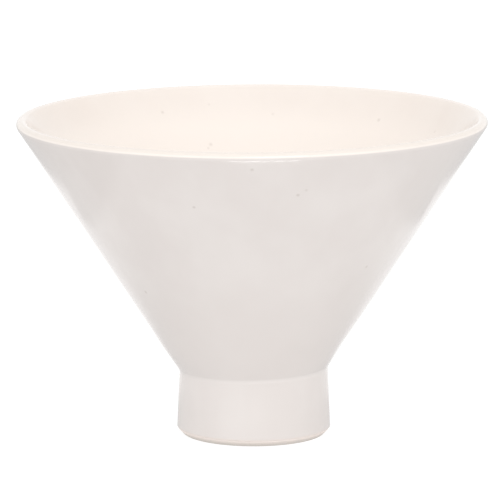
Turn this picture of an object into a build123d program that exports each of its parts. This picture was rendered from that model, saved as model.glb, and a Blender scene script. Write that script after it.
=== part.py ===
from build123d import *

import os
from math import asin, atan, cos, sin, tan

# A ceramic pour over coffee dripper: a wide cone that holds a paper filter, on a short collar.
#
# The cone and the collar are shaped separately, joined with slip while the clay is still soft, and
# reinforced by a thin coil of clay in the corner underneath. The glaze is a coat of glass over the
# fired clay, put on in three goes: inside the cone, outside, and underneath. The foot stays bare.
#
# Every piece is a ring about the vertical axis, and Z = 0 is the plane that the foot stands on.
# Sizes are in millimetres. Diameters and heights are over the glaze, and walls are bare clay.

# ---- driving dimensions -------------------------------------------------------------------------
rim_diameter = 140.0
height = 96.0
cone_wall = 2.6  # at the lip
cone_wall_at_tip = 3.1
drip_hole_diameter = 20.0
drip_hole_height = 5.1  # above the table
drip_land = 2.4  # width of the ring of clay round the drip hole, seen from below
drip_edge_round = 0.7

collar_top_diameter = 44.5  # where the collar meets the cone
collar_foot_diameter = 46.0
collar_wall = 3.4
foot_bevel = 1.6
foot_bore_round = 0.8

slip_thickness = 0.6  # between the collar's bevelled top and the cone
coil_hollow = 1.3  # radius of the smoothed face of the coil

glaze_thickness = 0.3
bare_foot_height = 2.0  # clay left bare above the table
crease_glaze_hollow = 3.0  # radius of the glaze where it pools in the outside crease

# ---- the cone's two sides, as points and directions of (radius, height) -------------------------
drip_radius = drip_hole_diameter / 2 + glaze_thickness
tip = Vector(drip_radius + drip_land, drip_hole_height + glaze_thickness)
lip_radius = cone_wall / 2
lip_over_glaze = lip_radius + glaze_thickness
lip_centre = Vector(rim_diameter / 2 - lip_over_glaze, height - lip_over_glaze)

# The outside runs from the tip to touch the round of the lip, and the inside thickens below it.
tip_to_lip = lip_centre - tip
outside_slope = atan(tip_to_lip.X / tip_to_lip.Y) + asin(lip_radius / tip_to_lip.length)
inside_slope = outside_slope + atan((cone_wall_at_tip - cone_wall) / tip_to_lip.length)
lip_outside = lip_centre + Vector(cos(outside_slope), -sin(outside_slope)) * lip_radius
lip_inside = lip_centre + Vector(-cos(inside_slope), sin(inside_slope)) * lip_radius
lip_crest = lip_centre + Vector(0, lip_radius)


def outside_height(radius, gap=0.0):
    """Height at a radius of a line that runs a gap away from the outside of the clay cone."""
    return tip.Y + (radius - tip.X) / tan(outside_slope) - gap / sin(outside_slope)


def inside_height(radius):
    """Height at a radius of the inside of the clay cone."""
    return lip_inside.Y - (lip_inside.X - radius) / tan(inside_slope)


# ---- the collar's two sides, which lean in together from the foot to the cone -------------------
foot_radius = collar_foot_diameter / 2 - glaze_thickness
crease_radius = collar_top_diameter / 2 - glaze_thickness
bore_radius = foot_radius - collar_wall
collar_lean = (foot_radius - crease_radius) / outside_height(crease_radius)


def collar_crossing(radius_at_foot, gap):
    """Point where the collar's side meets the line that runs a gap outside the clay cone."""
    crossing_height = outside_height(radius_at_foot, gap) / (1 + collar_lean / tan(outside_slope))
    return Vector(radius_at_foot - collar_lean * crossing_height, crossing_height)


outside_on_cone = collar_crossing(foot_radius, 0)
outside_on_slip = collar_crossing(foot_radius, slip_thickness)
bore_on_cone = collar_crossing(bore_radius, 0)
bore_on_slip = collar_crossing(bore_radius, slip_thickness)

# ---- cone: a straight wall from a full round lip down to the drip hole --------------------------
with BuildPart() as filter_cone:
    with BuildSketch(Plane.XZ) as cone_section:
        with BuildLine():
            Line(tip, lip_outside)
            ThreePointArc(lip_outside, lip_crest, lip_inside)
            Polyline(
                lip_inside,
                (drip_radius, inside_height(drip_radius)),
                (drip_radius, tip.Y),
                tip,
            )
        make_face()
        drip_corners = cone_section.vertices().sort_by(Axis.Y)[:3]
        fillet(drip_corners, drip_edge_round)
    revolve(axis=Axis.Z)

# ---- collar: a flared ring with its top bevelled to the cone's slope ----------------------------
with BuildPart() as collar:
    with BuildSketch(Plane.XZ) as collar_section:
        with BuildLine():
            Polyline((bore_radius, 0), (foot_radius, 0), outside_on_slip, bore_on_slip, close=True)
        make_face()
        fillet(collar_section.vertices().group_by(Axis.Y)[0].sort_by(Axis.X)[0], foot_bore_round)
        chamfer(collar_section.vertices().group_by(Axis.Y)[0].sort_by(Axis.X)[-1], foot_bevel)
    revolve(axis=Axis.Z)

# ---- slip: the thin layer that joins the collar's bevel to the cone -----------------------------
with BuildPart() as slip_joint:
    with BuildSketch(Plane.XZ) as slip_section:
        with BuildLine():
            Polyline(outside_on_slip, outside_on_cone, bore_on_cone, bore_on_slip, close=True)
        make_face()
    revolve(axis=Axis.Z)

# ---- coil: fills the narrow corner between the cone and the collar's bore -----------------------
down_the_cone = Vector(-sin(outside_slope), -cos(outside_slope))
down_the_bore = Vector(collar_lean, -1).normalized()
down_the_corner = (down_the_cone + down_the_bore).normalized()
half_corner = (outside_slope + atan(collar_lean)) / 2
coil_reach = coil_hollow / tan(half_corner)
coil_depth = coil_hollow / sin(half_corner) - coil_hollow
coil_on_cone = bore_on_cone + down_the_cone * coil_reach
coil_on_bore = bore_on_cone + down_the_bore * coil_reach
coil_face = bore_on_cone + down_the_corner * coil_depth

with BuildPart() as joint_coil:
    with BuildSketch(Plane.XZ) as coil_section:
        with BuildLine():
            Line(bore_on_cone, coil_on_cone)
            ThreePointArc(coil_on_cone, coil_face, coil_on_bore)
            Line(coil_on_bore, bore_on_cone)
        make_face()
    revolve(axis=Axis.Z)

# ---- glaze: an even band round the section of all the clay, deeper in the outside crease --------
with BuildSketch(Plane.XZ) as clay_section:
    for section in (cone_section, collar_section, slip_section, coil_section):
        add(section.sketch_local)

with BuildSketch(Plane.XZ) as glaze_section:
    add(clay_section.sketch_local)
    offset(amount=glaze_thickness, mode=Mode.REPLACE)
    crease = glaze_section.vertices().sort_by_distance(outside_on_cone)[0]
    fillet(crease, crease_glaze_hollow)
    add(clay_section.sketch_local, mode=Mode.SUBTRACT)

# The coats meet at the crest of the lip and under the ring round the drip hole.
beyond = rim_diameter + height
drip_middle = drip_radius + drip_land / 2
collar_middle = foot_radius - collar_wall / 2
joint_middle = collar_crossing(collar_middle, slip_thickness / 2)

with BuildPart() as inside_glaze:
    with BuildSketch(Plane.XZ):
        add(glaze_section.sketch_local)
        with BuildLine():
            Polyline(
                (0, 0),
                (drip_middle, 0),
                (drip_middle, inside_height(drip_radius)),
                lip_centre,
                (lip_centre.X, beyond),
                (0, beyond),
                close=True,
            )
        make_face(mode=Mode.INTERSECT)
    revolve(axis=Axis.Z)

with BuildPart() as outside_glaze:
    with BuildSketch(Plane.XZ):
        add(glaze_section.sketch_local)
        with BuildLine():
            Polyline(
                (beyond, beyond),
                (lip_centre.X, beyond),
                lip_centre,
                joint_middle,
                (collar_middle, bare_foot_height),
                (beyond, bare_foot_height),
                close=True,
            )
        make_face(mode=Mode.INTERSECT)
    revolve(axis=Axis.Z)

with BuildPart() as underside_glaze:
    with BuildSketch(Plane.XZ):
        add(glaze_section.sketch_local)
        with BuildLine():
            Polyline(
                (drip_middle, bare_foot_height),
                (collar_middle, bare_foot_height),
                joint_middle,
                (drip_middle, inside_height(drip_radius)),
                close=True,
            )
        make_face(mode=Mode.INTERSECT)
    revolve(axis=Axis.Z)

# ---- files --------------------------------------------------------------------------------------
pieces = {
    "filter_cone": filter_cone,
    "collar": collar,
    "slip_joint": slip_joint,
    "joint_coil": joint_coil,
    "inside_glaze": inside_glaze,
    "outside_glaze": outside_glaze,
    "underside_glaze": underside_glaze,
}
os.makedirs("parts", exist_ok=True)
for name, piece in pieces.items():
    piece.part.label = name
    export_step(piece.part, f"parts/{name}.step")
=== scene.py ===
"""A hand-made ceramic pour over dripper in a plain studio.

The wide cone and the short collar are fired clay, joined by slip and a smoothed coil, under three
coats of glaze. Each of them is a ring: its section is drawn with a pen and spun about the vertical.
One soft hand shaping then bends them all together, so that they stay in touch: the rim tilts, the
collar sits a little off the cone's axis, and nothing is perfectly round.

Lengths are in metres, and a point of a section is a radius and a height.
"""

import logging
import math
from dataclasses import dataclass
from enum import Enum

import bmesh
import bpy
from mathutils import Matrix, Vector, noise


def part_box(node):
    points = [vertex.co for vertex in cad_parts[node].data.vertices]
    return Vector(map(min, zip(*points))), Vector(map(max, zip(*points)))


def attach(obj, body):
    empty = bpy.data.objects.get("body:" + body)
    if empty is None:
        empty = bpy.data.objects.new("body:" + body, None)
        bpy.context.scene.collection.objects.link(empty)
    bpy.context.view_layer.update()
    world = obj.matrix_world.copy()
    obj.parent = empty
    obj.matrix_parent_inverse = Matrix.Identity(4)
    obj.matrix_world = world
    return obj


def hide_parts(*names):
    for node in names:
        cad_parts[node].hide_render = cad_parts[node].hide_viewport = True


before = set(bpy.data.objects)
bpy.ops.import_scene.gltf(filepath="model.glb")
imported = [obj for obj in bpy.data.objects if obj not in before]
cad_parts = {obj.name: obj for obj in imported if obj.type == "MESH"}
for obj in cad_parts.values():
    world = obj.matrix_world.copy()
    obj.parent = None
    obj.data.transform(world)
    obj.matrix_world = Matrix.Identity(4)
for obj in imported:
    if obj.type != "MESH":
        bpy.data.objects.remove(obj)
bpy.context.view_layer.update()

MM = 0.001
MERGE_DISTANCE = 1e-7
FULL_TURN = 2 * math.pi
NOISE_SPAN = (0.3, 0.7)  # the range that soft noise seldom leaves
ABOVE_ALL = 1.0  # a height that nothing reaches

log = logging.getLogger("dripper")

Colour = tuple[float, float, float]

WHITE: Colour = (0.632, 0.592, 0.570)
# Colour of the white glaze's deeper clouds, and also of the painted shade over the lower cone.
DEEP_WHITE_AND_SHADE: Colour = (0.607, 0.564, 0.542)
# Colour of the painted highlight along the crease, on the top of the collar.
CREASE_HIGHLIGHT_WHITE: Colour = (0.655, 0.615, 0.594)
THIN_WHITE: Colour = (0.655, 0.589, 0.549)
CREAM: Colour = (0.764, 0.705, 0.658)
DEEP_CREAM: Colour = (0.746, 0.682, 0.633)
THICK_CREAM: Colour = (0.80, 0.74, 0.69)
THIN_CREAM: Colour = (0.72, 0.66, 0.608)
# Colour of the painted highlight along the lip, under its cream.
LIP_HIGHLIGHT_CREAM: Colour = (0.76, 0.70, 0.65)
CLAY: Colour = (0.66, 0.59, 0.545)
CLAY_GRAIN: Colour = (0.56, 0.49, 0.44)
SLIP: Colour = (0.74, 0.66, 0.57)
SLIP_GRAIN: Colour = (0.62, 0.53, 0.44)


class Slot(Enum):
    """Names of the record's material slots, which nothing here reads."""

    CLAY = "fired_clay"
    SLIP = "fired_slip"
    INSIDE_GLAZE = "inside_glaze"
    OUTSIDE_GLAZE = "outside_glaze"


class Fineness(Enum):
    """Steps that a ring takes round the axis."""

    SEEN = 256
    BURIED = 128


def smooth_step(amount: float) -> float:
    """Returns 0 below 0, 1 above 1 and a smooth rise between."""
    share = min(max(amount, 0), 1)
    return share * share * (3 - 2 * share)


# ---- sections and rings -------------------------------------------------------------------------


@dataclass(frozen=True)
class WallLine:
    """A straight side of a section.

    Attributes:
        radius: radius of one point of the line.
        height: height of the same point.
        lean: angle from the vertical, positive where the line leans outwards as it rises.
    """

    radius: float
    height: float
    lean: float

    def radius_at(self, height: float) -> float:
        """Returns the line's radius at a height."""
        return self.radius + (height - self.height) * math.tan(self.lean)

    def height_at(self, radius: float) -> float:
        """Returns the line's height at a radius."""
        return self.height + (radius - self.radius) / math.tan(self.lean)

    def shifted(self, distance: float) -> "WallLine":
        """Returns the line moved outwards by a distance square to itself."""
        return WallLine(self.radius + distance / math.cos(self.lean), self.height, self.lean)

    def meeting(self, other: "WallLine") -> tuple[float, float]:
        """Finds the point where two lines cross.

        Args:
            other: the line that this one crosses.

        Returns:
            The radius and height of that point.
        """
        gap = other.radius_at(self.height) - self.radius
        height = self.height + gap / (math.tan(self.lean) - math.tan(other.lean))
        return self.radius_at(height), height


@dataclass(frozen=True)
class Corner:
    """A corner of a section.

    Attributes:
        radius: distance from the vertical axis.
        height: distance above the table.
        rounding: radius of the arc that rounds the corner, or 0 for a sharp one.
        arc_steps: edges along that arc.
        run_steps: edges along the straight run that leads to the corner.
    """

    radius: float
    height: float
    rounding: float = 0.0
    arc_steps: int = 8
    run_steps: int = 1

    @property
    def spot(self) -> Vector:
        """The corner as a point of the XZ plane."""
        return Vector((self.radius, 0, self.height))


class SectionPen:
    """Draws the outline of a section in the XZ plane, one vertex after another."""

    def __init__(self, mesh: bmesh.types.BMesh, start: Vector) -> None:
        """Puts the pen down.

        Args:
            mesh: the mesh that the pen draws in.
            start: the outline's first point.
        """
        self.mesh = mesh
        self.tip = mesh.verts.new(start)

    def run_to(self, end: Vector, steps: int) -> None:
        """Draws a straight run.

        Args:
            end: where the run ends.
            steps: edges along the run.
        """
        step = (end - self.tip.co) / steps
        for _ in range(steps):
            grown = bmesh.ops.extrude_vert_indiv(self.mesh, verts=[self.tip])
            self.tip = grown["verts"][0]
            self.tip.co += step

    def turn(self, arriving: Vector, leaving: Vector, rounding: float, steps: int) -> None:
        """Draws an arc from one direction into another.

        Args:
            arriving: unit direction of the run before the arc.
            leaving: unit direction of the run after it.
            rounding: radius of the arc.
            steps: edges along the arc.
        """
        axis = arriving.cross(leaving).normalized()
        turned = bmesh.ops.spin(
            self.mesh,
            geom=[self.tip],
            cent=self.tip.co + axis.cross(arriving) * rounding,
            axis=axis,
            angle=arriving.angle(leaving),
            steps=steps,
        )
        self.tip = next(part for part in turned["geom_last"] if isinstance(part, bmesh.types.BMVert))


def draw_section(mesh: bmesh.types.BMesh, corners: list[Corner]) -> None:
    """Draws a closed outline that starts and ends at its first corner.

    Args:
        mesh: the mesh that takes the outline.
        corners: the corners in order, of which the first is sharp.
    """
    pen = SectionPen(mesh, corners[0].spot)
    for index, before in enumerate(corners):
        corner = corners[(index + 1) % len(corners)]
        after = corners[(index + 2) % len(corners)]
        arriving = (corner.spot - before.spot).normalized()
        leaving = (after.spot - corner.spot).normalized()
        setback = corner.rounding * math.tan(arriving.angle(leaving) / 2)
        pen.run_to(corner.spot - arriving * setback, corner.run_steps)
        if corner.rounding:
            pen.turn(arriving, leaving, corner.rounding, corner.arc_steps)


@dataclass(frozen=True)
class HandShaping:
    """The small unevenness that a potter's hand leaves, as one smooth bend of the whole form.

    Attributes:
        rim_radius: radius of the rim before the bend, which the bend never passes.
        rim_height: height of the rim before the bend, which the bend never passes either.
        crease_height: height where the collar meets the cone.
        rim_sink: how far the bend lets the whole rim down.
        rim_tilt: how far the rim's middle lies below its highest side, which is at +X.
        collar_shift: how far the collar stands off the cone's axis, towards +X.
        crease_tilt: how far the crease rises at its +X side and sinks at the other.
        fade: distance from the crease over which the collar's shift and tilt fade out.
        ovalness: most that the rim loses where the form is squeezed.
        squeeze_turn: twice the angle, in radians, from +X to the side that is squeezed.
        waviness: depth of the soft waves that the fingers leave.
        wave_length: rough distance from one soft wave to the next.
    """

    rim_radius: float
    rim_height: float
    crease_height: float
    rim_sink: float = 0.30 * MM
    rim_tilt: float = 0.40 * MM
    collar_shift: float = 0.53 * MM
    crease_tilt: float = 0.60 * MM
    fade: float = 9 * MM
    ovalness: float = 0.18 * MM
    squeeze_turn: float = 1.0
    waviness: float = 0.07 * MM
    wave_length: float = 19 * MM

    def bent(self, point: Vector) -> Vector:
        """Returns where the bend takes a point of the true round form.

        Args:
            point: a point off the vertical axis.

        Returns:
            The same point of the hand-made form.
        """
        outwards = Vector((point.x, point.y, 0)).normalized()
        above_crease = point.z - self.crease_height
        climb = max(above_crease / (self.rim_height - self.crease_height), 0)
        off_foot = smooth_step(point.z / self.crease_height)

        doubled = 2 * math.atan2(point.y, point.x) - self.squeeze_turn
        squeezed = self.ovalness * climb * (1 + math.cos(doubled)) / 2
        waved = self.waviness * off_foot * (1 - noise.noise(point / self.wave_length)) / 2
        shifted = self.collar_shift * (1 - smooth_step(above_crease / self.fade))
        near_crease = off_foot * math.exp(-((above_crease / self.fade) ** 2))
        tilted = self.crease_tilt * near_crease * outwards.x
        sunk = climb * (self.rim_sink + self.rim_tilt * (1 - point.x / self.rim_radius))
        return point - outwards * (squeezed + waved) + Vector((shifted, 0, tilted - sunk))


@dataclass(frozen=True)
class Wheel:
    """The potter's wheel, which turns a section into a finished ring of the dripper.

    Attributes:
        shaping: the bend that every ring gets.
        sharp_angle: angle between two faces above which their edge stays crisp.
    """

    shaping: HandShaping
    sharp_angle: float = math.radians(35)

    def throw(
        self,
        node: str,
        corners: list[Corner],
        fineness: Fineness,
        finish: bpy.types.Material,
    ) -> bpy.types.Object:
        """Makes one ring and puts it in the place of its CAD node.

        Args:
            node: name of the CAD node that the ring stands for.
            corners: the ring's section.
            fineness: how finely the ring is divided.
            finish: material of the whole ring.

        Returns:
            The ring as an object at the origin.
        """
        ring = bmesh.new()
        draw_section(ring, corners)
        bmesh.ops.spin(
            ring,
            geom=[*ring.verts, *ring.edges],
            cent=(0, 0, 0),
            axis=(0, 0, 1),
            angle=FULL_TURN,
            steps=fineness.value,
            use_merge=True,
        )
        bmesh.ops.remove_doubles(ring, verts=ring.verts, dist=MERGE_DISTANCE)
        bmesh.ops.recalc_face_normals(ring, faces=ring.faces)
        for edge in ring.edges:
            edge.smooth = edge.calc_face_angle(math.pi) < self.sharp_angle
        for face in ring.faces:
            face.smooth = True
        for vertex in ring.verts:
            vertex.co = self.shaping.bent(vertex.co)

        mesh = bpy.data.meshes.new(f"{node}_ring")
        ring.to_mesh(mesh)
        ring.free()
        mesh.materials.append(finish)
        piece = bpy.data.objects.new(f"{node}_ring", mesh)
        bpy.context.scene.collection.objects.link(piece)
        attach(piece, "root")
        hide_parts(node)
        log.info("%s: %d faces, finish %s", piece.name, len(mesh.polygons), finish.name)
        return piece


# ---- finishes -----------------------------------------------------------------------------------


class NodeBench:
    """Adds nodes to a material or to the room, and wires them together."""

    def __init__(self, owner: bpy.types.Material | bpy.types.World) -> None:
        """Takes hold of an owner's nodes.

        Args:
            owner: the material or world that gets the nodes.
        """
        owner.use_nodes = True
        self.owner = owner
        self.tree = owner.node_tree
        self.place = self.tree.nodes.new("ShaderNodeTexCoord").outputs["Object"]

    @property
    def shader(self) -> bpy.types.Node:
        """The material's surface shader."""
        return self.tree.nodes["Principled BSDF"]

    def paint(self, colour: Colour, roughness: float, glow: float) -> None:
        """Sets the surface shader to one finish that is the same all over.

        Args:
            colour: colour of the surface.
            roughness: how matt it is.
            glow: how bright it shines by itself, in white.
        """
        self.shader.inputs["Base Color"].default_value = (*colour, 1)
        self.shader.inputs["Roughness"].default_value = roughness
        self.shader.inputs["Emission Color"].default_value = (1, 1, 1, 1)
        self.shader.inputs["Emission Strength"].default_value = glow

    def add(self, kind: str, inputs: dict[int | str, object], **settings: object) -> bpy.types.Node:
        """Adds a node.

        Args:
            kind: the node's type name, without its ShaderNode prefix.
            inputs: a socket to wire in, or a constant, for each input by number or name.
            settings: the node's own properties.

        Returns:
            The new node.
        """
        node = self.tree.nodes.new(f"ShaderNode{kind}")
        for setting, value in settings.items():
            setattr(node, setting, value)
        for key, value in inputs.items():
            self.feed(node.inputs[key], value)
        return node

    def feed(self, socket: bpy.types.NodeSocket, value: object) -> None:
        """Wires a socket into another one, or sets it to a constant.

        Args:
            socket: the socket that is fed.
            value: the socket that feeds it, or the constant.
        """
        if isinstance(value, bpy.types.NodeSocket):
            self.tree.links.new(value, socket)
        else:
            socket.default_value = value

    def math(self, operation: str, *values: object) -> bpy.types.NodeSocket:
        """Returns the result of a math node."""
        return self.add("Math", dict(enumerate(values)), operation=operation).outputs[0]

    def cloud(
        self, size: float, detail: float = 2.0, place: bpy.types.NodeSocket | None = None
    ) -> bpy.types.NodeSocket:
        """Returns soft noise from 0 to 1.

        Args:
            size: rough distance from one cloud to the next.
            detail: how many finer octaves ride on it.
            place: the point that the noise is read at, or None for the object's own.

        Returns:
            The socket that carries the noise.
        """
        inputs = {"Vector": place or self.place, "Scale": 1 / size, "Detail": detail}
        return self.add("TexNoise", inputs).outputs["Fac"]

    def ramp(
        self, value: object, start: float, end: float, low: float, high: float
    ) -> bpy.types.NodeSocket:
        """Returns a value carried smoothly from one range to another.

        Args:
            value: the socket to carry over.
            start: value that becomes low.
            end: value that becomes high.
            low: result at and before start.
            high: result at and after end.

        Returns:
            The socket that carries the result.
        """
        inputs = {"Value": value, "From Min": start, "From Max": end, "To Min": low, "To Max": high}
        return self.add("MapRange", inputs, interpolation_type="SMOOTHSTEP").outputs["Result"]

    def blend(self, share: object, first: object, second: object) -> bpy.types.NodeSocket:
        """Mixes two colours.

        Args:
            share: how much of the second colour, from 0 to 1.
            first: colour or socket at 0.
            second: colour or socket at 1.

        Returns:
            The socket that carries the mixed colour.
        """
        mix = self.add("Mix", {}, data_type="RGBA")
        factor = mix.inputs["Factor"]
        start, end = mix.inputs[6], mix.inputs[7]  # its two colours, which share their names
        for socket, value in ((factor, share), (start, first), (end, second)):
            self.feed(socket, (*value, 1.0) if isinstance(value, tuple) else value)
        return mix.outputs[2]

    def relief(self, layers: list[tuple[object, float]]) -> bpy.types.NodeSocket:
        """Lays several layers of relief over each other.

        Args:
            layers: a height from 0 to 1 and its depth in metres, for each layer.

        Returns:
            The socket that carries the normal.
        """
        normal = None
        for height, depth in layers:
            bump = self.add("Bump", {"Height": height, "Distance": depth})
            if normal is not None:
                self.feed(bump.inputs["Normal"], normal)
            normal = bump.outputs["Normal"]
        return normal


@dataclass(frozen=True)
class Speck:
    """A speck of iron that burnt through the glaze.

    Attributes:
        azimuth: direction of the speck from the axis in degrees, 0 at +X and -90 at the front.
        height: height of the speck in millimetres.
        radius: radius of the speck in millimetres.
        strength: how dark it burnt, from 0 to 1.
    """

    azimuth: float
    height: float
    radius: float
    strength: float

    def on(self, face: WallLine, shaping: HandShaping) -> tuple[Vector, float, float]:
        """Puts the speck on a face of the bent form.

        Args:
            face: the face that carries the speck.
            shaping: the bend of that face.

        Returns:
            The speck's centre, its radius in metres and its strength.
        """
        height = self.height * MM
        azimuth = math.radians(self.azimuth)
        around = Vector((math.cos(azimuth), math.sin(azimuth), 0)) * face.radius_at(height)
        return shaping.bent(around + Vector((0, 0, height))), self.radius * MM, self.strength


@dataclass(frozen=True)
class Band:
    """A level band of the coat where its colour changes.

    Attributes:
        colour: colour of the band.
        low: height of its lower edge.
        high: height of its upper edge.
        fade: half the height over which each edge fades.
        strength: how much of the colour shows, from 0 to 1.
        tilt: how much the band rises along +X for each metre, because the form is bent.
    """

    colour: Colour
    low: float
    high: float
    fade: float
    strength: float = 1.0
    tilt: float = 0.0

    def share(self, bench: NodeBench) -> bpy.types.NodeSocket:
        """Works out how much of the band's colour shows at each point.

        Args:
            bench: the nodes of the coat's material.

        Returns:
            The socket that carries it, from 0 to 1.
        """
        inputs = {0: bench.place, 1: Vector((-self.tilt, 0, 1))}
        height = bench.add("VectorMath", inputs, operation="DOT_PRODUCT").outputs["Value"]
        above = bench.ramp(height, self.low - self.fade, self.low + self.fade, 0.0, self.strength)
        below = bench.ramp(height, self.high - self.fade, self.high + self.fade, 1.0, 0.0)
        return bench.math("MULTIPLY", above, below)


@dataclass(frozen=True)
class GlazeFinish:
    """A glossy glaze with faint clouds and runs, a soft ripple and a few specks.

    Attributes:
        name: the material's name.
        body: colour of the full coat.
        deep: colour of its faint deeper clouds.
        bands: level bands of another colour, each over the ones before it.
        specks: place, radius and strength of each speck.
        speck_colour: colour of the specks.
        speck_halo: how far a speck's colour bleeds out, as a multiple of its radius.
        roughness: roughness of the smoothest and the dullest places.
        cloud_size: rough distance from one cloud to the next.
        cloud_span: where clouds and runs together start to deepen the coat, and where fully.
        run_size: rough distance from one vertical run to the next.
        run_share: how much the runs count beside the clouds.
        run_stretch: scale of the runs' pattern along the height; under 1 draws the runs out.
        gloss_size: rough distance from one dull place to the next.
        sag_size: rough distance from one sagged wave to the next.
        sag_depth: depth of the soft waves where the coat sagged.
        peel_size: rough distance from one fine ripple to the next.
        peel_depth: depth of the fine ripple in the glass.
        pit_depth: depth of the dimple over a speck.
    """

    name: str
    body: Colour
    deep: Colour
    bands: tuple[Band, ...]
    specks: tuple[tuple[Vector, float, float], ...]
    speck_colour: Colour = (0.22, 0.16, 0.12)
    speck_halo: float = 1.5
    roughness: tuple[float, float] = (0.09, 0.15)
    cloud_size: float = 24 * MM
    cloud_span: tuple[float, float] = (0.5, 1.0)
    run_size: float = 9 * MM
    run_share: float = 0.5
    run_stretch: float = 0.12
    gloss_size: float = 11 * MM
    sag_size: float = 16 * MM
    sag_depth: float = 0.09 * MM
    peel_size: float = 1.6 * MM
    peel_depth: float = 0.004 * MM
    pit_depth: float = 0.06 * MM

    def speckled(self, bench: NodeBench) -> bpy.types.NodeSocket:
        """Works out how much of a speck there is at each point.

        Args:
            bench: the nodes of the coat's material.

        Returns:
            The socket that carries it, from 0 to 1.
        """
        amount = 0.0
        for place, radius, strength in self.specks:
            inputs = {0: bench.place, 1: place}
            away = bench.add("VectorMath", inputs, operation="DISTANCE").outputs["Value"]
            dot = bench.ramp(away, 0.0, radius * self.speck_halo, strength, 0.0)
            amount = bench.math("MAXIMUM", amount, dot)
        return amount

    def build(self) -> bpy.types.Material:
        """Makes the finish.

        Returns:
            The material.
        """
        bench = NodeBench(bpy.data.materials.new(self.name))
        inputs = {0: bench.place, 1: Vector((1, 1, self.run_stretch))}
        drawn = bench.add("VectorMath", inputs, operation="MULTIPLY").outputs["Vector"]
        runs = bench.cloud(self.run_size, detail=2.0, place=drawn)
        clouds = bench.cloud(self.cloud_size, detail=3.0)
        mixed = bench.math("ADD", clouds, bench.math("MULTIPLY", runs, self.run_share))
        depth = bench.ramp(mixed, *self.cloud_span, 0.0, 1.0)
        coat = bench.blend(depth, self.body, self.deep)
        for band in self.bands:
            coat = bench.blend(band.share(bench), coat, band.colour)
        specks = self.speckled(bench)
        bench.feed(bench.shader.inputs["Base Color"], bench.blend(specks, coat, self.speck_colour))
        gloss = bench.cloud(self.gloss_size, detail=4.0)
        dull = bench.ramp(gloss, *NOISE_SPAN, *self.roughness)
        bench.feed(bench.shader.inputs["Roughness"], dull)
        layers = [
            (bench.cloud(self.sag_size), self.sag_depth),
            (bench.cloud(self.peel_size), self.peel_depth),
            (bench.math("SUBTRACT", 1.0, specks), self.pit_depth),
        ]
        bench.feed(bench.shader.inputs["Normal"], bench.relief(layers))
        return bench.owner


@dataclass(frozen=True)
class ClayFinish:
    """Bare fired clay, matt and finely grained, with a painted shadow along the foot's bottom edge
    and painted light just under the glaze's edge.

    Attributes:
        name: the material's name.
        body: colour of the clay.
        grain: colour of its darker grains.
        painted_shadow: colour of the painted contact shadow along the foot's bottom edge.
        painted_shadow_height: how high that painted shadow reaches above the table.
        painted_light: colour of the painted light on the foot's bevel, a lighter band just under the
            glaze's edge.
        painted_light_from: height where the painted light starts to show.
        painted_light_to: height where it is strongest.
        painted_light_strength: how much of its colour shows there.
        roughness: how matt it is between the grains and on them.
        grain_size: rough distance from one grain to the next.
        grain_span: where the grain starts to darken the clay, and where it does so fully.
        grain_depth: depth of the grain.
    """

    name: str
    body: Colour
    grain: Colour
    painted_shadow: Colour = (0.5, 0.465, 0.43)
    painted_shadow_height: float = 1.6 * MM
    painted_light: Colour = (0.74, 0.67, 0.63)
    painted_light_from: float = 0.9 * MM
    painted_light_to: float = 1.9 * MM
    painted_light_strength: float = 0.8
    roughness: tuple[float, float] = (0.65, 0.85)
    grain_size: float = 0.5 * MM
    grain_span: tuple[float, float] = (0.58, 0.72)
    grain_depth: float = 0.03 * MM

    def build(self) -> bpy.types.Material:
        """Makes the finish.

        Returns:
            The material.
        """
        bench = NodeBench(bpy.data.materials.new(self.name))
        height = bench.add("SeparateXYZ", {"Vector": bench.place}).outputs["Z"]
        grain = bench.cloud(self.grain_size, detail=4.0)
        dark = bench.ramp(grain, *self.grain_span, 0.0, 1.0)
        # Painted shadow: the clay darkens towards the table, standing in for the contact shadow
        # under the foot.
        painted_shadow = bench.ramp(height, 0.0, self.painted_shadow_height, 1.0, 0.0)
        # Painted light: a lighter band just under the glaze's edge, standing in for light on the
        # foot's bevel.
        painted_light_mask = bench.ramp(height, self.painted_light_from, self.painted_light_to, 0.0, self.painted_light_strength)
        clay = bench.blend(painted_light_mask, bench.blend(dark, self.body, self.grain), self.painted_light)
        bench.feed(bench.shader.inputs["Base Color"], bench.blend(painted_shadow, clay, self.painted_shadow))
        rough = bench.ramp(grain, *NOISE_SPAN, *self.roughness)
        bench.feed(bench.shader.inputs["Roughness"], rough)
        bench.feed(bench.shader.inputs["Normal"], bench.relief([(grain, self.grain_depth)]))
        return bench.owner


# ---- the dripper --------------------------------------------------------------------------------


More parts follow.
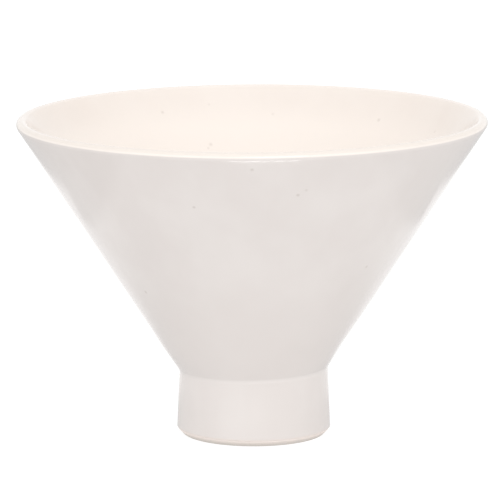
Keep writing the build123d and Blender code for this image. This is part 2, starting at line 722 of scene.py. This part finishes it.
@dataclass(frozen=True)
class FilterCone:
    """The clay cone, with its full round lip and its drip hole.

    Attributes:
        rim_radius: radius of the clay at the rim.
        height: height of the clay lip's crest.
        tip_height: height of the clay ring round the drip hole.
        wall: thickness at the lip.
        wall_at_tip: thickness at the drip hole.
        drip_radius: radius of the hole in the clay.
        drip_land: width of the ring round the hole, seen from below.
        edge_round: radius of the edges round the hole.
        lip_steps: edges along each half of the lip's round.
    """

    rim_radius: float
    height: float
    tip_height: float
    wall: float = 2.6 * MM
    wall_at_tip: float = 3.1 * MM
    drip_radius: float = 10.3 * MM
    drip_land: float = 2.4 * MM
    edge_round: float = 0.7 * MM
    lip_steps: int = 18

    @property
    def lip_radius(self) -> float:
        """Radius of the round lip."""
        return self.wall / 2

    @property
    def lip_centre(self) -> Corner:
        """Centre of the round lip."""
        return Corner(self.rim_radius - self.lip_radius, self.height - self.lip_radius)

    @property
    def tip(self) -> Corner:
        """Outer corner of the ring round the drip hole."""
        return Corner(self.drip_radius + self.drip_land, self.tip_height)

    @property
    def outside(self) -> WallLine:
        """The cone's outside, from the tip to touch the round of the lip.

        Returns:
            The line of that side of the wall.
        """
        rise = self.lip_centre.spot - self.tip.spot
        lean = math.atan(rise.x / rise.z) + math.asin(self.lip_radius / rise.length)
        return WallLine(self.tip.radius, self.tip.height, lean)

    @property
    def inside(self) -> WallLine:
        """The cone's inside, which leans a little more so that the wall thickens downwards.

        Returns:
            The line of that side of the wall.
        """
        rise = self.lip_centre.spot - self.tip.spot
        lean = self.outside.lean + math.atan((self.wall_at_tip - self.wall) / rise.length)
        centre = self.lip_centre
        return WallLine(centre.radius, centre.height, lean).shifted(-self.lip_radius)

    def lip_corner(self, side: WallLine, proud: float, run_steps: int = 1) -> Corner:
        """Finds the corner that rounds one side of the wall into the crest of the lip.

        Args:
            side: the line of that side of the wall.
            proud: how far that line and the crest stand off the clay.
            run_steps: edges along the run that leads to the corner.

        Returns:
            The corner.
        """
        crest = self.height + proud
        rounding = self.lip_radius + proud
        return Corner(side.radius_at(crest), crest, rounding, self.lip_steps, run_steps)

    def section(self) -> list[Corner]:
        """Draws up the clay.

        Returns:
            The corners of its section.
        """
        return [
            Corner(self.lip_centre.radius, self.height),
            self.lip_corner(self.outside, 0),
            Corner(self.tip.radius, self.tip.height, self.edge_round, run_steps=24),
            Corner(self.drip_radius, self.tip.height, self.edge_round),
            Corner(self.drip_radius, self.inside.height_at(self.drip_radius), self.edge_round),
            self.lip_corner(self.inside, 0, run_steps=24),
        ]

    def build(self, wheel: Wheel, clay: bpy.types.Material) -> None:
        """Makes the cone of clay."""
        wheel.throw("filter_cone", self.section(), Fineness.BURIED, clay)


@dataclass(frozen=True)
class Collar:
    """The flared clay ring that enters a carafe's neck, luted under the cone.

    Attributes:
        cone: the cone above.
        crease_height: height where the collar's outside meets the cone.
        top_radius: radius of the clay there.
        foot_radius: radius of the clay at the foot, before its edge is bevelled.
        wall: thickness of the clay.
        foot_bevel: width of the bevel round the foot.
        bevel_round: radius that softens the bevel's edges.
        bore_round: radius of the foot's inner edge.
        slip: thickness of the slip between the collar's top and the cone.
        coil_hollow: radius of the smoothed face of the coil in the inner corner.
    """

    cone: FilterCone
    crease_height: float
    top_radius: float = 21.95 * MM
    foot_radius: float = 22.7 * MM
    wall: float = 3.4 * MM
    foot_bevel: float = 1.6 * MM
    bevel_round: float = 0.35 * MM
    bore_round: float = 0.8 * MM
    slip: float = 0.6 * MM
    coil_hollow: float = 1.3 * MM

    @property
    def outside(self) -> WallLine:
        """The collar's outside."""
        lean = math.atan((self.top_radius - self.foot_radius) / self.crease_height)
        return WallLine(self.foot_radius, 0, lean)

    @property
    def bore(self) -> WallLine:
        """The collar's bore."""
        return WallLine(self.foot_radius - self.wall, 0, self.outside.lean)

    @property
    def inner_corner(self) -> tuple[float, float]:
        """Radius and height of the corner between the cone and the bore."""
        return self.bore.meeting(self.cone.outside)

    def collar_section(self) -> list[Corner]:
        """Draws up the collar.

        Returns:
            The corners of its section.
        """
        seat = self.cone.outside.shifted(self.slip)
        return [
            Corner(*self.bore.meeting(seat)),
            Corner(self.bore.radius, 0, self.bore_round, run_steps=6),
            Corner(self.foot_radius - self.foot_bevel, 0, self.bevel_round, 4),
            Corner(self.outside.radius_at(self.foot_bevel), self.foot_bevel, self.bevel_round, 4, 2),
            Corner(*self.outside.meeting(seat), run_steps=8),
        ]

    def slip_section(self) -> list[Corner]:
        """Draws up the slip.

        Returns:
            The corners of its section.
        """
        seat = self.cone.outside.shifted(self.slip)
        meetings = [
            self.bore.meeting(seat),
            self.outside.meeting(seat),
            self.outside.meeting(self.cone.outside),
            self.inner_corner,
        ]
        return [Corner(*meeting) for meeting in meetings]

    def coil_section(self) -> list[Corner]:
        """Draws up the coil, which ends where its hollow face touches both walls.

        Returns:
            The corners of its section.
        """
        half_angle = (self.cone.outside.lean - self.bore.lean) / 2
        reach = self.coil_hollow / math.tan(half_angle)
        radius, height = self.inner_corner
        on_bore = height - reach * math.cos(self.bore.lean)
        on_cone = height - reach * math.cos(self.cone.outside.lean)
        return [
            Corner(radius, height),
            Corner(self.bore.radius_at(on_bore), on_bore),
            Corner(radius, height, self.coil_hollow),
            Corner(self.cone.outside.radius_at(on_cone), on_cone),
        ]

    def build(self, wheel: Wheel, clay: bpy.types.Material, slip: bpy.types.Material) -> None:
        """Makes the collar, the slip and the coil.

        Args:
            wheel: the wheel that turns them.
            clay: finish of the collar and the coil.
            slip: finish of the slip.
        """
        wheel.throw("collar", self.collar_section(), Fineness.SEEN, clay)
        wheel.throw("slip_joint", self.slip_section(), Fineness.BURIED, slip)
        wheel.throw("joint_coil", self.coil_section(), Fineness.BURIED, clay)


@dataclass(frozen=True)
class GlazeCoats:
    """The three coats of glaze over the clay.

    Attributes:
        collar: the collar, which knows the cone.
        thickness: thickness of the coats.
        bare_height: height of the bare clay above the table.
        crease_hollow: radius of the glaze that pools in the outside crease.
        bead_round: radius of the edge where a coat ends.
    """

    collar: Collar
    thickness: float
    bare_height: float
    crease_hollow: float = 3.0 * MM
    bead_round: float = 0.05 * MM

    @property
    def inside_face(self) -> WallLine:
        """The glazed face inside the cone."""
        return self.collar.cone.inside.shifted(-self.thickness)

    @property
    def outside_face(self) -> WallLine:
        """The glazed face outside the cone."""
        return self.collar.cone.outside.shifted(self.thickness)

    def inside_finish(self, shaping: HandShaping) -> bpy.types.Material:
        """Makes the cream glaze of the inside, with its specks.

        Args:
            shaping: the bend that carries the specks to their places.

        Returns:
            The material.
        """
        specks = (
            Speck(116, 89, 0.56, 0.19),
            Speck(51, 87.5, 0.62, 0.19),
            Speck(84, 87.5, 0.5, 0.11),
            Speck(103, 79, 0.62, 0.17),
            Speck(104, 78, 0.44, 0.14),
            Speck(102, 90.5, 0.44, 0.11),
            Speck(26, 87, 0.5, 0.11),
            Speck(-34, 62, 0.56, 0.22),
            Speck(-71, 83, 0.5, 0.17),
            Speck(-98, 48, 0.62, 0.19),
            Speck(-127, 74, 0.44, 0.17),
            Speck(158, 38, 0.5, 0.22),
            Speck(9, 52, 0.44, 0.17),
        )
        placed = tuple(speck.on(self.inside_face, shaping) for speck in specks)
        bands = (Band(THICK_CREAM, low=0, high=shaping.rim_height - 9 * MM, fade=5 * MM),)
        return GlazeFinish("cream_glaze", CREAM, DEEP_CREAM, bands, placed).build()

    def outside_finish(self, shaping: HandShaping) -> bpy.types.Material:
        """Makes the white glaze of the outside, with its bands and specks; some bands are painted
        shade and painted highlights.

        Args:
            shaping: the bend that carries the bands and specks to their places.

        Returns:
            The material.
        """
        specks = (
            Speck(-90, 91, 0.56, 0.25),
            Speck(-78, 82.5, 0.56, 0.28),
            Speck(-76, 84, 0.5, 0.17),
            Speck(-106, 78.5, 0.5, 0.28),
            Speck(-43, 56, 0.5, 0.25),
            Speck(-141, 47.5, 0.56, 0.28),
            Speck(-8, 74, 0.5, 0.22),
            Speck(22, 45, 0.62, 0.25),
            Speck(57, 86, 0.5, 0.22),
            Speck(74, 60, 0.44, 0.19),
            Speck(103, 71, 0.56, 0.28),
            Speck(131, 36, 0.5, 0.22),
            Speck(166, 81, 0.56, 0.25),
        )
        placed = tuple(speck.on(self.outside_face, shaping) for speck in specks)
        crease = self.collar.crease_height
        crest = shaping.rim_height - shaping.rim_sink - shaping.rim_tilt
        crease_slope = shaping.crease_tilt / self.collar.top_radius
        rim_slope = shaping.rim_tilt / shaping.rim_radius
        lip_fade = 0.2 * MM
        thin_foot = self.bare_height + 0.3 * MM
        bands = (
            # Painted shade: the lower cone darkens towards the crease, where it overhangs the collar
            # and the table.
            Band(DEEP_WHITE_AND_SHADE, low=crease, high=50 * MM, fade=12 * MM, strength=0.6),
            # Painted highlight: a lighter line along the crease, mostly on the top of the collar.
            Band(
                CREASE_HIGHLIGHT_WHITE,
                low=crease - 0.8 * MM,
                high=crease + 0.35 * MM,
                fade=0.3 * MM,
                strength=0.6,
                tilt=crease_slope,
            ),
            Band(THIN_CREAM, crest - 1.2 * MM, ABOVE_ALL, lip_fade, tilt=rim_slope),
            # Painted highlight: a lighter line along the lower edge of the lip's cream.
            Band(LIP_HIGHLIGHT_CREAM, crest - 1.45 * MM, crest - 0.95 * MM, lip_fade, tilt=rim_slope),
            Band(THIN_WHITE, low=0, high=thin_foot, fade=0.3 * MM, strength=0.9),
        )
        return GlazeFinish("white_glaze", WHITE, DEEP_WHITE_AND_SHADE, bands, placed).build()

    def outside_section(self) -> list[Corner]:
        """Draws up the outside coat, out over the glaze and back along the clay.

        Returns:
            The corners of its section.
        """
        cone, collar, bare = self.collar.cone, self.collar, self.bare_height
        collar_face = collar.outside.shifted(self.thickness)
        return [
            Corner(cone.lip_centre.radius, cone.height),
            Corner(cone.lip_centre.radius, cone.height + self.thickness),
            cone.lip_corner(self.outside_face, self.thickness),
            Corner(*self.outside_face.meeting(collar_face), self.crease_hollow, 12, 48),
            Corner(collar_face.radius_at(bare), bare, self.bead_round, 4, 16),
            Corner(collar.outside.radius_at(bare), bare, run_steps=2),
            Corner(*collar.outside.meeting(cone.outside), run_steps=8),
            cone.lip_corner(cone.outside, 0, run_steps=24),
        ]

    def inside_section(self) -> list[Corner]:
        """Draws up the inside coat, in along the clay and back over the glaze.

        Returns:
            The corners of its section.
        """
        cone, thick = self.collar.cone, self.thickness
        face = self.inside_face
        hole_in_clay = cone.drip_radius
        hole = hole_in_clay - thick
        land_middle = hole_in_clay + cone.drip_land / 2
        return [
            Corner(cone.lip_centre.radius, cone.height),
            cone.lip_corner(cone.inside, 0),
            Corner(hole_in_clay, cone.inside.height_at(hole_in_clay), cone.edge_round, run_steps=24),
            Corner(hole_in_clay, cone.tip_height, cone.edge_round),
            Corner(land_middle, cone.tip_height),
            Corner(land_middle, cone.tip_height - thick),
            Corner(hole, cone.tip_height - thick, cone.edge_round + thick),
            Corner(hole, face.height_at(hole), cone.edge_round + thick),
            cone.lip_corner(face, thick, run_steps=48),
            Corner(cone.lip_centre.radius, cone.height + thick),
        ]

    def underside_section(self) -> list[Corner]:
        """Draws up the coat under the cone and in the collar's bore.

        Returns:
            The corners of its section.
        """
        cone, collar, thick, bare = self.collar.cone, self.collar, self.thickness, self.bare_height
        bore_face = collar.bore.shifted(-thick)
        tip_face = cone.tip_height - thick
        land_middle = cone.drip_radius + cone.drip_land / 2
        return [
            Corner(land_middle, cone.tip_height),
            Corner(cone.tip.radius, cone.tip_height, cone.edge_round),
            Corner(*collar.inner_corner, collar.coil_hollow, run_steps=4),
            Corner(collar.bore.radius_at(bare), bare, run_steps=4),
            Corner(bore_face.radius_at(bare), bare, self.bead_round, 4),
            Corner(*bore_face.meeting(self.outside_face), collar.coil_hollow - thick, 8, 8),
            Corner(self.outside_face.radius_at(tip_face), tip_face, cone.edge_round + thick, 8, 8),
            Corner(land_middle, tip_face),
        ]

    def build(self, wheel: Wheel) -> None:
        """Makes the three coats.

        Args:
            wheel: the wheel that turns them.
        """
        cream = self.inside_finish(wheel.shaping)
        white = self.outside_finish(wheel.shaping)
        fine = Fineness.SEEN
        wheel.throw("inside_glaze", self.inside_section(), fine, cream)
        wheel.throw("outside_glaze", self.outside_section(), fine, white)
        wheel.throw("underside_glaze", self.underside_section(), fine, white)


# ---- studio -------------------------------------------------------------------------------------


def lay_flat(
    name: str, middle: Vector, width: float, depth: float, surface: NodeBench
) -> bpy.types.Object:
    """Lays a flat sheet that belongs to the studio.

    Args:
        name: the sheet's name.
        middle: the sheet's middle.
        width: the sheet's size along X.
        depth: the sheet's size along Y.
        surface: the nodes of the sheet's material.

    Returns:
        The sheet as an object.
    """
    grid = bmesh.new()
    bmesh.ops.create_grid(grid, x_segments=1, y_segments=1, size=0.5)
    bmesh.ops.scale(grid, vec=(width, depth, 1), verts=grid.verts)
    bmesh.ops.translate(grid, vec=middle, verts=grid.verts)
    mesh = bpy.data.meshes.new(name)
    grid.to_mesh(mesh)
    grid.free()
    mesh.materials.append(surface.owner)
    sheet = bpy.data.objects.new(name, mesh)
    bpy.context.scene.collection.objects.link(sheet)
    return sheet


@dataclass(frozen=True)
class Card:
    """A card with soft edges that glows, though it is no lamp, and only shows in the glaze, to shape
    its reflections there as painted reflections.

    Attributes:
        name: the card's name.
        left: X of the card's left edge.
        right: X of its right edge.
        near: Y of its edge on the camera's side.
        far: Y of its other edge.
        brightness: how bright the card glows, where 1 is as bright as white paper.
        fade: how far in from its edges the card thins out to nothing.
        lift: height of the card above the table.
    """

    name: str
    left: float
    right: float
    near: float
    far: float
    brightness: float
    fade: float
    lift: float = 30 * MM

    def share(
        self, bench: NodeBench, along: bpy.types.NodeSocket, low: float, high: float
    ) -> bpy.types.NodeSocket:
        """Returns how solid the card is at each point between two of its edges.

        Args:
            bench: the nodes of the card's material.
            along: the coordinate that runs from one edge to the other.
            low: where the first edge is.
            high: where the other edge is.

        Returns:
            The socket that carries it, from 0 to 1.
        """
        rise = bench.ramp(along, low, low + self.fade, 0.0, 1.0)
        fall = bench.ramp(along, high - self.fade, high, 1.0, 0.0)
        return bench.math("MULTIPLY", rise, fall)

    def build(self) -> None:
        """Lays the card out."""
        surface = NodeBench(bpy.data.materials.new(f"{self.name}_glow_sheet"))
        # The card is black and only glows: its glow is a painted reflection in the glaze.
        surface.paint((0, 0, 0), 1.0, self.brightness)
        parts = surface.add("SeparateXYZ", {"Vector": surface.place})
        across = self.share(surface, parts.outputs["X"], self.left, self.right)
        along = self.share(surface, parts.outputs["Y"], self.near, self.far)
        surface.feed(surface.shader.inputs["Alpha"], surface.math("MULTIPLY", across, along))
        middle = Vector(((self.left + self.right) / 2, (self.near + self.far) / 2, self.lift))
        card = lay_flat(self.name, middle, self.right - self.left, self.far - self.near, surface)
        card.visible_camera = False
        card.visible_diffuse = False
        card.visible_transmission = False
        card.visible_shadow = False


@dataclass(frozen=True)
class Studio:
    """A white table in a bright room with a wide window, and one large softbox above the camera.

    Attributes:
        middle: height of the point that the softbox faces.
        room_light: brightness of the room.
        window_light: how much brighter the room is at a wide window behind the camera.
        window_low: sine of the elevation of the window's lower edge.
        window_high: sine of the elevation of its upper edge.
        window_blur: half the sine over which those edges fade.
        window_middle: Y of the direction where the window is at its brightest.
        table_size: side of the table.
        table_tone: how much of the light the table scatters back.
        table_roughness: how matt the table is.
        table_glow: how much the table shines by itself, like a light table.
        softbox_distance: from the dripper to the softbox.
        softbox_elevation: how high the softbox stands, as an angle.
        softbox_swing: how far the softbox stands to the camera's right, as an angle.
        softbox_size: side of the softbox.
        softbox_power: power of the softbox in watts.
        camera_distance: from the dripper's axis to the camera, along the table.
        camera_height: height of the camera above the table.
        camera_offset: how far the camera stands to the left of the axis.
        camera_pitch: how far the camera looks down, as an angle.
        lens: focal length of the camera in millimetres.
    """

    middle: float
    room_light: float = 1.06
    window_light: float = 0.8
    window_low: float = 0.25
    window_high: float = 0.65
    window_blur: float = 0.05
    window_middle: float = -0.6
    table_size: float = 12.0
    table_tone: float = 0.28
    table_roughness: float = 0.9
    table_glow: float = 0.78
    softbox_distance: float = 1.5
    softbox_elevation: float = math.radians(30)
    softbox_swing: float = math.radians(12)
    softbox_size: float = 0.7
    softbox_power: float = 2.5
    camera_distance: float = 1.350
    camera_height: float = 0.2976
    camera_offset: float = 0.59 * MM
    camera_pitch: float = math.radians(10.18)
    lens: float = 331.5

    def build_room(self) -> None:
        """Makes the room."""
        room = NodeBench(bpy.data.worlds.new("soft_room"))
        around = room.add("TexCoord", {}).outputs["Generated"]
        parts = room.add("SeparateXYZ", {"Vector": around})
        up, blur = parts.outputs["Z"], self.window_blur
        ahead = room.ramp(parts.outputs["Y"], self.window_middle, 0.0, self.window_light, 0.0)
        sill = room.ramp(up, self.window_low - blur, self.window_low + blur, 0.0, 1.0)
        head = room.ramp(up, self.window_high - blur, self.window_high + blur, 1.0, 0.0)
        window = room.math("MULTIPLY", ahead, room.math("MULTIPLY", sill, head))
        backdrop = room.tree.nodes["Background"]
        backdrop.inputs["Color"].default_value = (1, 1, 1, 1)
        room.feed(backdrop.inputs["Strength"], room.math("ADD", self.room_light, window))
        bpy.context.scene.world = room.owner
        bpy.context.scene.view_settings.view_transform = "Standard"

    def build_table(self) -> None:
        """Makes the table."""
        surface = NodeBench(bpy.data.materials.new("white_table"))
        surface.paint((self.table_tone,) * 3, self.table_roughness, self.table_glow)
        lay_flat("table", Vector((0, 0, 0)), self.table_size, self.table_size, surface)

    def build_cards(self) -> None:
        """Makes the glowing cards, which paint reflections in the glaze: grey and dark ones at both
        sides, a bright strip for a painted highlight and a low grey one for a painted shadow.
        """
        cards = (
            # Grey and dark cards at both sides: glowing sheets, dimmer than the table, that paint
            # darker reflections on the glaze's flanks.
            Card("grey_card_left", -0.115, -0.077, -0.3, 0.068, 0.72, fade=10 * MM),
            Card("grey_card_right", 0.077, 0.115, -0.3, 0.075, 0.72, fade=10 * MM),
            Card("dark_card_left", -0.7, -0.092, -0.6, 2.0, 0.62, fade=18 * MM, lift=31 * MM),
            Card("dark_card_right", 0.092, 0.7, -0.6, 2.0, 0.65, fade=18 * MM, lift=31 * MM),
            # The bright strip glows like a lamp, though it is none: it paints the highlight under
            # the lip's front.
            Card("bright_card", -0.016, 0.036, -0.112, -0.0905, 7.5, fade=3 * MM),
            # The low grey sheet under the dripper is a painted shadow: it stands in for the
            # dripper's shade on the table, as seen in the glaze.
            Card("shade_card", -0.11, 0.11, -0.06, 0.08, 0.7, fade=60 * MM, lift=0.5 * MM),
        )
        for card in cards:
            card.build()

    def build_softbox(self) -> None:
        """Makes the softbox."""
        light = bpy.data.lights.new("softbox", "AREA")
        light.size = self.softbox_size
        light.energy = self.softbox_power
        softbox = bpy.data.objects.new("softbox", light)
        flat = math.cos(self.softbox_elevation)
        away = Vector(
            (
                math.sin(self.softbox_swing) * flat,
                -math.cos(self.softbox_swing) * flat,
                math.sin(self.softbox_elevation),
            )
        )
        softbox.location = Vector((0, 0, self.middle)) + away * self.softbox_distance
        softbox.rotation_euler = away.to_track_quat("Z", "Y").to_euler()
        bpy.context.scene.collection.objects.link(softbox)

    def build_camera(self) -> None:
        """Makes the camera."""
        lens = bpy.data.cameras.new("camera")
        lens.lens = self.lens
        camera = bpy.data.objects.new("camera", lens)
        camera.location = (-self.camera_offset, -self.camera_distance, self.camera_height)
        camera.rotation_euler = (math.pi / 2 - self.camera_pitch, 0, 0)
        bpy.context.scene.collection.objects.link(camera)
        bpy.context.scene.camera = camera

    def build(self) -> None:
        """Makes the room, the table, the cards, the softbox and the camera."""
        self.build_room()
        self.build_table()
        self.build_cards()
        self.build_softbox()
        self.build_camera()
        log.info("studio ready")


def main() -> None:
    """Builds the studio and the dripper."""
    logging.basicConfig(level=logging.INFO, format="%(name)s: %(message)s")
    clay_low, clay_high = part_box("filter_cone")
    glaze_low, glaze_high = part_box("outside_glaze")
    bare_height = glaze_low.z
    cone = FilterCone(rim_radius=clay_high.x, height=clay_high.z, tip_height=clay_low.z)
    collar = Collar(cone=cone, crease_height=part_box("slip_joint")[1].z)
    coats = GlazeCoats(collar=collar, thickness=glaze_high.x - clay_high.x, bare_height=bare_height)
    shaping = HandShaping(glaze_high.x, glaze_high.z, collar.crease_height)
    wheel = Wheel(shaping)

    clay = ClayFinish("bare_clay", CLAY, CLAY_GRAIN).build()
    slip = ClayFinish("bare_slip", SLIP, SLIP_GRAIN).build()
    Studio(middle=glaze_high.z / 2).build()
    cone.build(wheel, clay)
    collar.build(wheel, clay, slip)
    coats.build(wheel)


if __name__ == "__main__":
    main()
